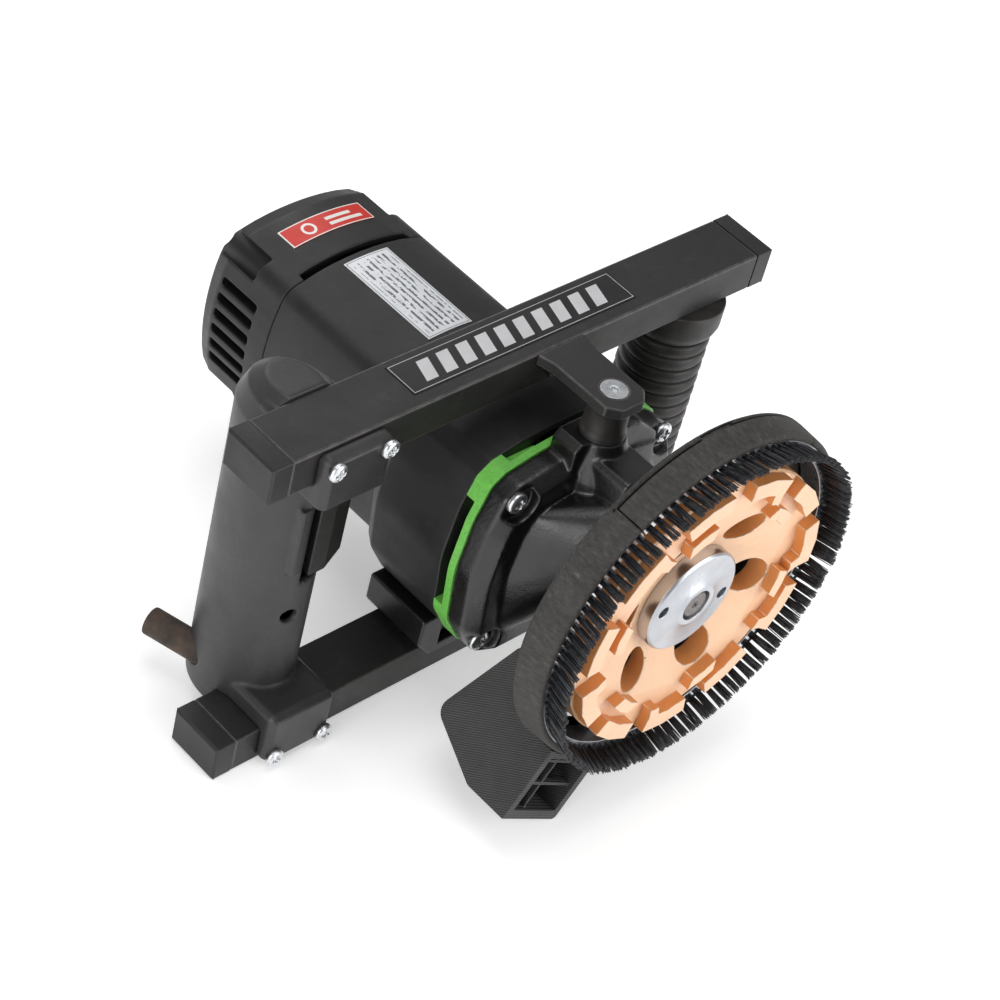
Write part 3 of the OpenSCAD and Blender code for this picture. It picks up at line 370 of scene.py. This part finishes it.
def duct_texture():
    """Printed duct wall: fine slanting lines over a matt black body."""
    look = Look("duct_plastic", 0.6, specular=0.4)
    x, y, z = look.axes()
    along = look.math("ADD", look.math("MULTIPLY", x, 0.55), look.math("MULTIPLY", z, 0.84))
    slant = look.math("ADD", along, look.math("MULTIPLY", y, 0.6))
    lines = look.math("SINE", look.math("MULTIPLY", slant, 2 * math.pi / DUCT_LINE_PITCH))
    tone = look.ramp(lines, (0.2, linear(46, 45, 45)), (0.9, linear(76, 74, 73)))
    patches = look.ramp(look.noise(0.015, 4), (0.3, 0.85), (0.7, 1.12))
    look.colour(look.mix(1.0, tone, patches, "MULTIPLY"))
    look.gloss(look.ramp(look.noise(0.01, 4), (0.3, 0.5), (0.7, 0.7)))
    look.bumps((lines, 0.00007), (look.noise(0.0008, 2), 0.00004))
    return look.material


def hood_texture():
    """The hood's tough fibrous moulding, with short light flecks."""
    look = Look("hood_plastic", 0.7, specular=0.35)
    flecks = look.noise(0.0016, 4, (1, 2.5, 1), 0.7)
    dark, light, fleck = linear(46, 44, 43), linear(68, 66, 64), linear(112, 109, 106)
    tone = look.ramp(flecks, (0.35, dark), (0.62, light), (0.8, fleck))
    patches = look.ramp(look.noise(0.02, 3), (0.3, 0.88), (0.7, 1.1))
    look.colour(look.mix(1.0, tone, patches, "MULTIPLY"))
    look.gloss(look.ramp(flecks, (0.3, 0.62), (0.7, 0.8)))
    fibres = look.noise(0.0009, 4, roughness=0.7)
    look.bumps((fibres, 0.00012), (look.noise(0.005, 3), 0.00012))
    return look.material


def bristle_fibre():
    look = Look("bristle", 0.34, specular=0.6)
    tone = look.noise(0.0012, 3, (1, 6, 1))
    look.colour(look.ramp(tone, (0.3, linear(14, 14, 16)), (0.7, linear(38, 40, 47))))
    look.gloss(look.ramp(look.noise(0.003, 2), (0.3, 0.26), (0.7, 0.46)))
    look.bumps((look.noise(0.0005, 2), 0.00003))
    return look.material


def label_print(node, edge, line, plain, ink, pattern):
    """A printed label: plain ground, a thin line inside its edge, and what pattern draws."""
    low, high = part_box(node)
    middle = (low + high) / 2
    look = Look(node + "_print", 0.35, specular=0.5)
    x, y, _ = look.axes()
    x = look.math("SUBTRACT", x, middle.x)
    y = look.math("SUBTRACT", y, middle.y)
    half_x, half_y = (high.x - low.x) / 2, (high.y - low.y) / 2
    from_side = look.math("SUBTRACT", half_x, look.math("ABSOLUTE", x))
    from_end = look.math("SUBTRACT", half_y, look.math("ABSOLUTE", y))
    inside = look.math("MINIMUM", from_side, from_end)
    rule = look.within(inside, edge, edge + line)
    drawn = look.math("MAXIMUM", rule, pattern(look, x, y, half_x, half_y))
    tone = look.mix(look.math("MINIMUM", drawn, 1.0), linear(*plain), linear(*ink))
    rubbed = look.ramp(look.noise(0.007, 5), (0.3, 0.93), (0.7, 1.05))
    look.colour(look.mix(1.0, tone, rubbed, "MULTIPLY"))
    look.gloss(look.ramp(look.noise(0.01, 4), (0.3, 0.28), (0.7, 0.45)))
    look.bumps((look.noise(0.002, 3), 0.00003))
    return look.material


def slanted_bars(look, x, y, _, half_y):
    """A row of plain slanted bars along the label."""
    leaning = look.math("ADD", x, look.math("MULTIPLY", y, BAR_LEAN))
    phase = look.math("FRACT", look.math("ADD", look.math("DIVIDE", leaning, BAR_PITCH), 100.0))
    bars = look.within(phase, (1 - BAR_SHARE) / 2, (1 + BAR_SHARE) / 2)
    row = look.within(y, -half_y * 0.62, half_y * 0.62)
    reach = BAR_PITCH * BAR_COUNT / 2
    length = look.within(leaning, -reach, reach)
    return look.math("MULTIPLY", look.math("MULTIPLY", bars, row), length)


def plate_lines(look, x, y, half_x, half_y):
    """Lines of unreadable grey dashes, as on a small rating plate."""
    phase = look.math("FRACT", look.math("ADD", look.math("DIVIDE", x, PLATE_LINE_PITCH), 50.0))
    rows = look.within(phase, 0.25, 0.68)
    words = look.math("GREATER_THAN", look.noise(0.0022, 1, (0.5, 1.2, 1)), 0.47)
    wide = look.within(x, -half_x * 0.8, half_x * 0.8)
    high = look.within(y, -half_y * 0.9, half_y * 0.9)
    dashes = look.math("MULTIPLY", rows, words)
    return look.math("MULTIPLY", dashes, look.math("MULTIPLY", wide, high))


def decal_bars(look, x, y, half_x, _):
    """A plain white ring on the left of the red decal and two bars on its right."""
    short, long = look.within(x, 0.0, half_x * 0.62), look.within(x, 0.0, half_x * 0.8)
    upper = look.math("MULTIPLY", look.within(y, 0.0006, 0.0024), short)
    lower = look.math("MULTIPLY", look.within(y, -0.0028, -0.001), long)
    across = look.math("POWER", look.math("ADD", x, half_x * 0.45), 2.0)
    distance = look.math("SQRT", look.math("ADD", across, look.math("POWER", y, 2.0)))
    ring = look.within(distance, 0.0022, 0.0034)
    return look.math("MAXIMUM", ring, look.math("MAXIMUM", upper, lower))


MOULDINGS = (  # slot, dark, light, roughness, grain, its depth, extras
    ("painted_rail", (29, 27, 27), (40, 38, 38), 0.5, 0.0007, 0.00005, {"dust": 0.05}),
    ("black_plastic", (29, 28, 28), (38, 36, 36), 0.5, 0.0006, 0.00005, {}),
    ("casing_plastic", (23, 22, 22), (31, 29, 29), 0.46, 0.0006, 0.00004, {"dust": 0.03}),
    ("handle_plastic", (44, 43, 44), (55, 53, 54), 0.42, 0.0005, 0.00004, {"dust": 0.03}),
    ("cast_housing", (17, 16, 16), (25, 24, 23), 0.3, 0.0013, 0.00009, {"specular": 0.7}),
    ("green_plastic", (104, 184, 76), (120, 198, 90), 0.36, 0.0006, 0.00003, {}),
    ("carbon", (28, 28, 30), (44, 44, 48), 0.6, 0.0004, 0.00003, {}),
)
METALS = (  # slot, dark, light, roughness, extras
    ("zinc_steel", (206, 210, 214), (240, 241, 243), 0.3, {"scratch": 0.0012}),
    ("ground_steel", (92, 88, 86), (140, 136, 134), 0.34, {}),
    ("strip_aluminium", (178, 182, 188), (232, 234, 238), 0.3, {}),
    ("gear_steel", (128, 124, 116), (176, 172, 162), 0.3, {}),
    ("copper", (170, 92, 48), (216, 130, 78), 0.35,
     {"stretch": (1, 12, 1), "scratch": 0.0009, "depth": 0.0001}),
    ("commutator_copper", (186, 112, 62), (226, 150, 96), 0.24, {}),
    ("laminated_steel", (84, 84, 88), (132, 132, 138), 0.45,
     {"stretch": (40, 1, 40), "scratch": 0.0005, "depth": 0.00006}),
    ("cast_aluminium", (146, 148, 150), (188, 190, 192), 0.42, {"scratch": 0.0015}),
    ("brass", (176, 140, 70), (216, 180, 104), 0.3, {}),
)
PRINTS = (  # slot, node, edge, line, ground, ink, what is drawn
    ("label_black", "rail_label", 0.0006, 0.00025, (26, 24, 25), (196, 196, 198), slanted_bars),
    ("label_white", "rating_plate", 0.0006, 0.0003, (226, 228, 232), (104, 106, 112), plate_lines),
    ("decal_red", "cap_decal", 0.0, 0.0005, (204, 44, 32), (236, 232, 228), decal_bars),
)


def make_materials():
    """The finish of each material slot in the record."""
    made = {name: moulded(name, *rest, **extras) for name, *rest, extras in MOULDINGS}
    made |= {name: metal(name, *rest, **extras) for name, *rest, extras in METALS}
    made |= {name: label_print(*rest) for name, *rest in PRINTS}
    silver, pale_silver = (178, 182, 188), (206, 209, 214)
    return made | {
        "black_rubber": rubber("black_rubber", (34, 32, 31), (52, 49, 48), 0.48),
        "sleeve_rubber": rubber("sleeve_rubber", (38, 32, 29), (84, 68, 57), 0.7),
        "hood_plastic": hood_texture(),
        "duct_plastic": duct_texture(),
        # The wheel's bronze with painted light: pale lit faces and deeper shaded sides.
        "wheel_gold": wheel_paint_and_painted_light("wheel_gold", (232, 190, 154), (220, 148, 86), 0.14),
        "segment_bond": wheel_paint_and_painted_light("segment_bond", (234, 193, 158), (216, 140, 76), 0.22),
        "nut_aluminium": turned_metal("nut_aluminium", silver, pale_silver, 0.3, "flange_nut"),
        "bristle": bristle_fibre(),
    }


# ---------- mesh building blocks ----------


WELD = 2e-6  # points closer than this are one


def new_piece(name, points, faces):
    mesh = bpy.data.meshes.new(name)
    mesh.from_pydata(points, [], faces)
    mesh.validate()
    piece = bpy.data.objects.new(name, mesh)
    scene.collection.objects.link(piece)
    mesh.shade_smooth()
    return piece


def stand_for(piece, *names, look=None):
    """The piece takes the first node's body, slot and finish, and stands for all the nodes."""
    first = names[0]
    piece.data.materials.append(look or looks[slots[first]])
    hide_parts(*names)
    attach(piece, nodes[first]["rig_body"])
    return piece


def cad_copy(name, *sources):
    """The nodes' solids as one clean mesh with flat faces whole."""
    shape = bmesh.new()
    for node in sources:
        source = nodes[node].data
        points = [shape.verts.new(v.co) for v in source.vertices]
        for p in source.polygons:
            corners = [points[i] for i in p.vertices]
            if len(set(corners)) == len(corners) and not shape.faces.get(corners):
                shape.faces.new(corners)
    bmesh.ops.remove_doubles(shape, verts=shape.verts, dist=WELD)
    flat = math.radians(0.5)
    bmesh.ops.dissolve_limit(shape, angle_limit=flat, verts=shape.verts, edges=shape.edges)
    mesh = bpy.data.meshes.new(name)
    shape.to_mesh(mesh)
    shape.free()
    piece = bpy.data.objects.new(name, mesh)
    scene.collection.objects.link(piece)
    return piece


def apply_modifiers(piece):
    """Makes the piece's mesh what its modifiers show."""
    bpy.context.view_layer.update()
    graph = bpy.context.evaluated_depsgraph_get()
    mesh = bpy.data.meshes.new_from_object(piece.evaluated_get(graph))
    piece.modifiers.clear()
    piece.data = mesh


def bevelled(node, width, edge_look=None, sharp=30, clamp=False):
    """The node's solid with its sharp edges rounded, and lighter there, as wear and painted
    highlight, if edge_look is given.
    """
    piece = cad_copy(node + "_finished", node)
    bevel = piece.modifiers.new("edges", "BEVEL")
    bevel.width = width
    bevel.segments = 2
    bevel.limit_method = "ANGLE"
    bevel.angle_limit = math.radians(sharp)
    bevel.use_clamp_overlap = clamp
    bevel.harden_normals = True
    piece.data.shade_smooth()
    stand_for(piece, node)
    if edge_look:
        piece.data.materials.append(edge_look)
        bevel.material = 1
    apply_modifiers(piece)
    return piece


def softened(sources, voxel, rounds, keep):
    """Solids remeshed as one, their edges melted as a casting's are; keep is the share of faces."""
    piece = cad_copy(sources[0] + "_finished", *sources)
    remesh = piece.modifiers.new("remesh", "REMESH")
    remesh.mode = "VOXEL"
    remesh.voxel_size = voxel
    smooth = piece.modifiers.new("melt", "SMOOTH")
    smooth.factor = 0.5
    smooth.iterations = rounds
    thin = piece.modifiers.new("thin", "DECIMATE")
    thin.ratio = keep
    apply_modifiers(piece)
    piece.data.shade_smooth()
    return stand_for(piece, *sources)


def lathe(profile, sides, start, axis):
    """Points and faces of a profile of (radius, distance from start), turned about the axis."""
    axis = Vector(axis).normalized()
    side = axis.orthogonal().normalized()
    other = axis.cross(side)
    points, faces = [], []
    for r, along in profile:
        for k in range(sides):
            a = 2 * math.pi * k / sides
            points.append(start + axis * along + (side * math.cos(a) + other * math.sin(a)) * r)
    for i in range(len(profile) - 1):
        for k in range(sides):
            n = (k + 1) % sides
            faces.append((i * sides + k, i * sides + n, (i + 1) * sides + n, (i + 1) * sides + k))
    faces.append(tuple(range(sides - 1, -1, -1)))
    faces.append(tuple(range((len(profile) - 1) * sides, len(profile) * sides)))
    return points, faces


def join_shapes(name, shapes):
    """One piece out of many (points, faces)."""
    points, faces = [], []
    for more_points, more_faces in shapes:
        shift = len(points)
        points += more_points
        faces += [tuple(i + shift for i in f) for f in more_faces]
    return new_piece(name, points, faces)


def cross_screw(top, axis, radius, height, shank, length):
    """A domed cross-recess screw: top is the crown's middle and axis points into the work."""
    axis = Vector(axis).normalized()
    side = Vector((0, 0, 1)) if abs(axis.z) < 0.9 else Vector((1, 0, 0))
    other = axis.cross(side)
    sides, rings = 56, 16
    arm, reach, depth = radius * 0.13, radius * 0.6, height * 0.62

    def sunk(u, v):
        inward = 0.0
        for along, across in ((u, v), (v, u)):
            wide = min(1.0, max(0.0, (arm * 1.35 - abs(across)) / (arm * 0.5)))
            long = min(1.0, max(0.0, (reach - abs(along)) / (reach * 0.35)))
            inward = max(inward, wide * long)
        return inward * depth

    profile = []
    for i in range(rings + 1):
        share = i / rings
        fall = 1 - math.sqrt(1 - share ** 2.4 * 0.86)
        profile.append((radius * share, height * 0.72 * fall, True))
    rim = profile[-1][1]
    profile += [(radius, rim + (height - rim) * 0.4, False), (radius * 0.985, height, False)]
    profile += [(shank, height, False), (shank, height + length, False)]
    points, faces = [top + axis * sunk(0, 0)], []
    for r, along, crown in profile[1:]:
        for k in range(sides):
            a = 2 * math.pi * k / sides
            u, v = r * math.cos(a), r * math.sin(a)
            deep = along + (sunk(u, v) if crown else 0.0)
            points.append(top + axis * deep + side * u + other * v)
    for k in range(sides):
        faces.append((0, 1 + k, 1 + (k + 1) % sides))
    for i in range(len(profile) - 2):
        for k in range(sides):
            n = (k + 1) % sides
            a, b = 1 + i * sides, 1 + (i + 1) * sides
            faces.append((a + k, b + k, b + n, a + n))
    last = 1 + (len(profile) - 2) * sides
    faces.append(tuple(range(last, last + sides)))
    return points, faces


def loose_parts(node):
    """The boxes of the separate solids in a node, as (low, high)."""
    shape = bmesh.new()
    shape.from_mesh(nodes[node].data)
    bmesh.ops.remove_doubles(shape, verts=shape.verts, dist=WELD)
    seen, found = set(), []
    for start in shape.verts:
        if start in seen:
            continue
        group, stack = [], [start]
        seen.add(start)
        while stack:
            v = stack.pop()
            group.append(v.co.copy())
            for e in v.link_edges:
                w = e.other_vert(v)
                if w not in seen:
                    seen.add(w)
                    stack.append(w)
        found.append(tuple(Vector(f(p[i] for p in group) for i in range(3)) for f in (min, max)))
    shape.free()
    return found


def screws(node, direction, height, shank, name):
    """Cross-recess screws in the places of a node's solids, driven along +Y or -Y."""
    shapes = []
    for low, high in loose_parts(node):
        middle = (low + high) / 2
        radius = (high.x - low.x) / 2
        at = low.y if direction > 0 else high.y
        length = (high.y - low.y) - height
        top = Vector((middle.x, at, middle.z))
        shapes.append(cross_screw(top, (0, direction, 0), radius, height, shank, length))
    return stand_for(join_shapes(name, shapes), node)


# ---------- the brush rim ----------

TUFT_PITCH = 4.0 * MM
TUFT_R = 1.3 * MM
TUFT_FLARE = 2.6 * MM  # how much further out the tips are than the roots
TUFT_LIMIT = 1.9 * MM  # no tip is further out than this past the flare
BRUSH_INSET = 2.25 * MM  # from the strip's outside to the row of tufts
SEAM_MARGIN = 0.3 * MM
HAIRS = 36
HAIR_R = 0.3 * MM
HAIR_STEPS = 3
HAIR_SIDES = 4


def hair(root, tip, bend, radius):
    """One tapering bristle as a four-sided tube that bows by bend on its way."""
    points, faces = [], []
    axis = (tip - root).normalized()
    side = axis.orthogonal().normalized()
    other = axis.cross(side)
    for i in range(HAIR_STEPS + 1):
        share = i / HAIR_STEPS
        at = root.lerp(tip, share) + bend * (share * (1 - share) * 4)
        r = radius * (1 - 0.45 * share)
        for k in range(HAIR_SIDES):
            a = 2 * math.pi * k / HAIR_SIDES
            points.append(at + (side * math.cos(a) + other * math.sin(a)) * r)
    for i in range(HAIR_STEPS):
        a, b = i * HAIR_SIDES, (i + 1) * HAIR_SIDES
        for k in range(HAIR_SIDES):
            n = (k + 1) % HAIR_SIDES
            faces.append((a + k, a + n, b + n, b + k))
    last = HAIR_STEPS * HAIR_SIDES
    faces.append(tuple(range(HAIR_SIDES - 1, -1, -1)))
    faces.append(tuple(range(last, last + HAIR_SIDES)))
    return points, faces


def tufts(node, centre, root_r, start, sweep, name):
    """A row of bristle tufts round the hood, from angle start on, inside the node's ring."""
    low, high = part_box(node)
    root_y, tip_y = high.y, low.y
    tip_r = root_r + TUFT_FLARE
    count = round(sweep * root_r / TUFT_PITCH)
    shapes = []
    for k in range(count):
        a = start + sweep * (k + 0.5) / count
        out = Vector((math.cos(a), 0, math.sin(a)))
        round_way = Vector((-math.sin(a), 0, math.cos(a)))
        lean = draws.gauss(0, 0.38) * MM
        flare = draws.gauss(0, 0.3) * MM
        for _ in range(HAIRS):
            turn = draws.uniform(0, 2 * math.pi)
            far = math.sqrt(draws.random())
            tangential = math.cos(turn) * far * TUFT_R
            radial = math.sin(turn) * far * TUFT_R
            root = centre + out * (root_r + radial) + round_way * tangential
            root.y = root_y - 0.02 * MM
            short = abs(draws.gauss(0, 0.35)) * MM
            splay = draws.gauss(0, 0.22) * MM
            tip_out = min(tip_r + radial * 1.2 + flare, tip_r + TUFT_LIMIT)
            tip = centre + out * tip_out + round_way * (tangential * 1.3 + lean + splay)
            tip.y = tip_y + 0.05 * MM + short
            bend = round_way * draws.gauss(0, 0.12) * MM + out * draws.gauss(0, 0.1) * MM
            shapes.append(hair(root, tip, bend, HAIR_R * draws.uniform(0.85, 1.15)))
    return stand_for(join_shapes(name, shapes), node)


def brush_rim():
    """Tufts on the hood and, as a separate piece, on its lift-off segment."""
    low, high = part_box("cup_wheel")
    centre = Vector(((low.x + high.x) / 2, 0, (low.z + high.z) / 2))
    strip_low, strip_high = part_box("brush_strip")
    brush_r = (strip_high.x - strip_low.x) / 2 - BRUSH_INSET
    ends = []
    for v in nodes["segment_bristles"].data.vertices:
        ends.append(math.atan2(v.co.z - centre.z, v.co.x - centre.x))
    first, last = min(ends), max(ends)
    gap = last - first
    margin = SEAM_MARGIN / brush_r
    tufts("segment_bristles", centre, brush_r, first + margin, gap - 2 * margin, "segment_tufts")
    rest = 2 * math.pi - gap - 6 * margin
    tufts("hood_bristles", centre, brush_r, last + 3 * margin, rest, "hood_tufts")


# ---------- the ribbed grip ----------

RIB_PITCH = 6.4 * MM
RIB_SHAPE = (  # share of the rib's length, and how far its surface is below the crest, in mm
    (0.03, 2.2), (0.08, 1.1), (0.16, 0.35), (0.3, 0.0), (0.5, 0.05), (0.7, 0.2),
    (0.84, 0.55), (0.92, 1.15), (0.97, 2.2),
)
RIB_ROOT = 2.6 * MM


def ribbed_sleeve():
    """The grip's rubber sleeve, a row of rounded ribs turned round its post."""
    low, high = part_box("grip_sleeve")
    middle = (low + high) / 2
    radius = (high.x - low.x) / 2
    length = high.z - low.z
    ribs = round(length / RIB_PITCH)
    step = length / ribs
    profile = [(radius - RIB_ROOT, 0.0)]
    for i in range(ribs):
        for share, drop in RIB_SHAPE:
            profile.append((radius - drop * MM, (i + share) * step))
    profile.append((radius - RIB_ROOT, length))
    shape = lathe(profile, 72, Vector((middle.x, middle.y, low.z)), (0, 0, 1))
    return stand_for(join_shapes("ribbed_sleeve", [shape]), "grip_sleeve")


# ---------- assembly ----------

PLAIN_BEVELS = (  # node, width in mm
    ("arm_screw", 0.25),
    ("arm_damper", 0.5),
    ("bottom_saddle", 1.2),
    ("saddle_screws", 0.3),
    ("motor_casing", 0.8),
    ("air_outlet_ring", 0.3),
    ("trigger", 0.8),
    ("cable_sleeve", 0.6),
    ("grip_cuffs", 0.9),
    ("hood_body", 0.6),
    ("hood_segment", 0.5),
    ("brush_strip", 0.25),
    ("segment_strip", 0.25),
    ("hood_clamp", 0.3),
    ("dust_duct", 0.5),
    ("flange_nut", 0.35),
    ("backing_flange", 0.4),
)
MELTED = (  # nodes, voxel in mm, rounds of smoothing, share of faces kept
    (["rear_cap"], 0.55, 3, 0.3),
    (["gear_housing"], 0.7, 7, 0.4),
    (["handle_front_shell", "handle_rear_shell"], 0.65, 6, 0.3),
)
SCREW_SETS = (  # node, way in along Y, head's height and shank's radius in mm, name
    ("gear_housing_screws", 1, 3.2, 2.0, "housing_screw_set"),
    ("handle_screws", 1, 3.0, 2.0, "handle_screw_set"),
    ("rear_cap_screws", -1, 2.6, 1.5, "cap_screw_set"),
)

place_camera()
studio()
looks = make_materials()
for name, node in nodes.items():
    node.data.materials.clear()
    node.data.materials.append(looks[slots[name]])

# Lighter materials for the bevel faces: painted highlight along the edges, with some edge wear.
rail_edge = edge_wear_and_highlight("rail_edge", (76, 74, 73), 0.42)
plastic_edge = edge_wear_and_highlight("plastic_edge", (62, 60, 60), 0.42)
gold_edge = edge_wear_and_highlight("gold_edge", (250, 218, 186), 0.4)

bevelled("top_rail", 1.1 * MM, rail_edge)
bevelled("bottom_rail", 1.1 * MM, rail_edge)
bevelled("arm_bracket", 0.7 * MM, rail_edge)
bevelled("rail_end_caps", 0.3 * MM, plastic_edge, sharp=40, clamp=True)
bevelled("cup_wheel", 0.4 * MM, gold_edge)
bevelled("wheel_segments", 0.3 * MM, gold_edge)
for name, width in PLAIN_BEVELS:
    bevelled(name, width * MM)
for sources, voxel, rounds, keep in MELTED:
    softened(sources, voxel * MM, rounds, keep)
for name, way, head, shank, set_name in SCREW_SETS:
    screws(name, way, head * MM, shank * MM, set_name)
brush_rim()
ribbed_sleeve()
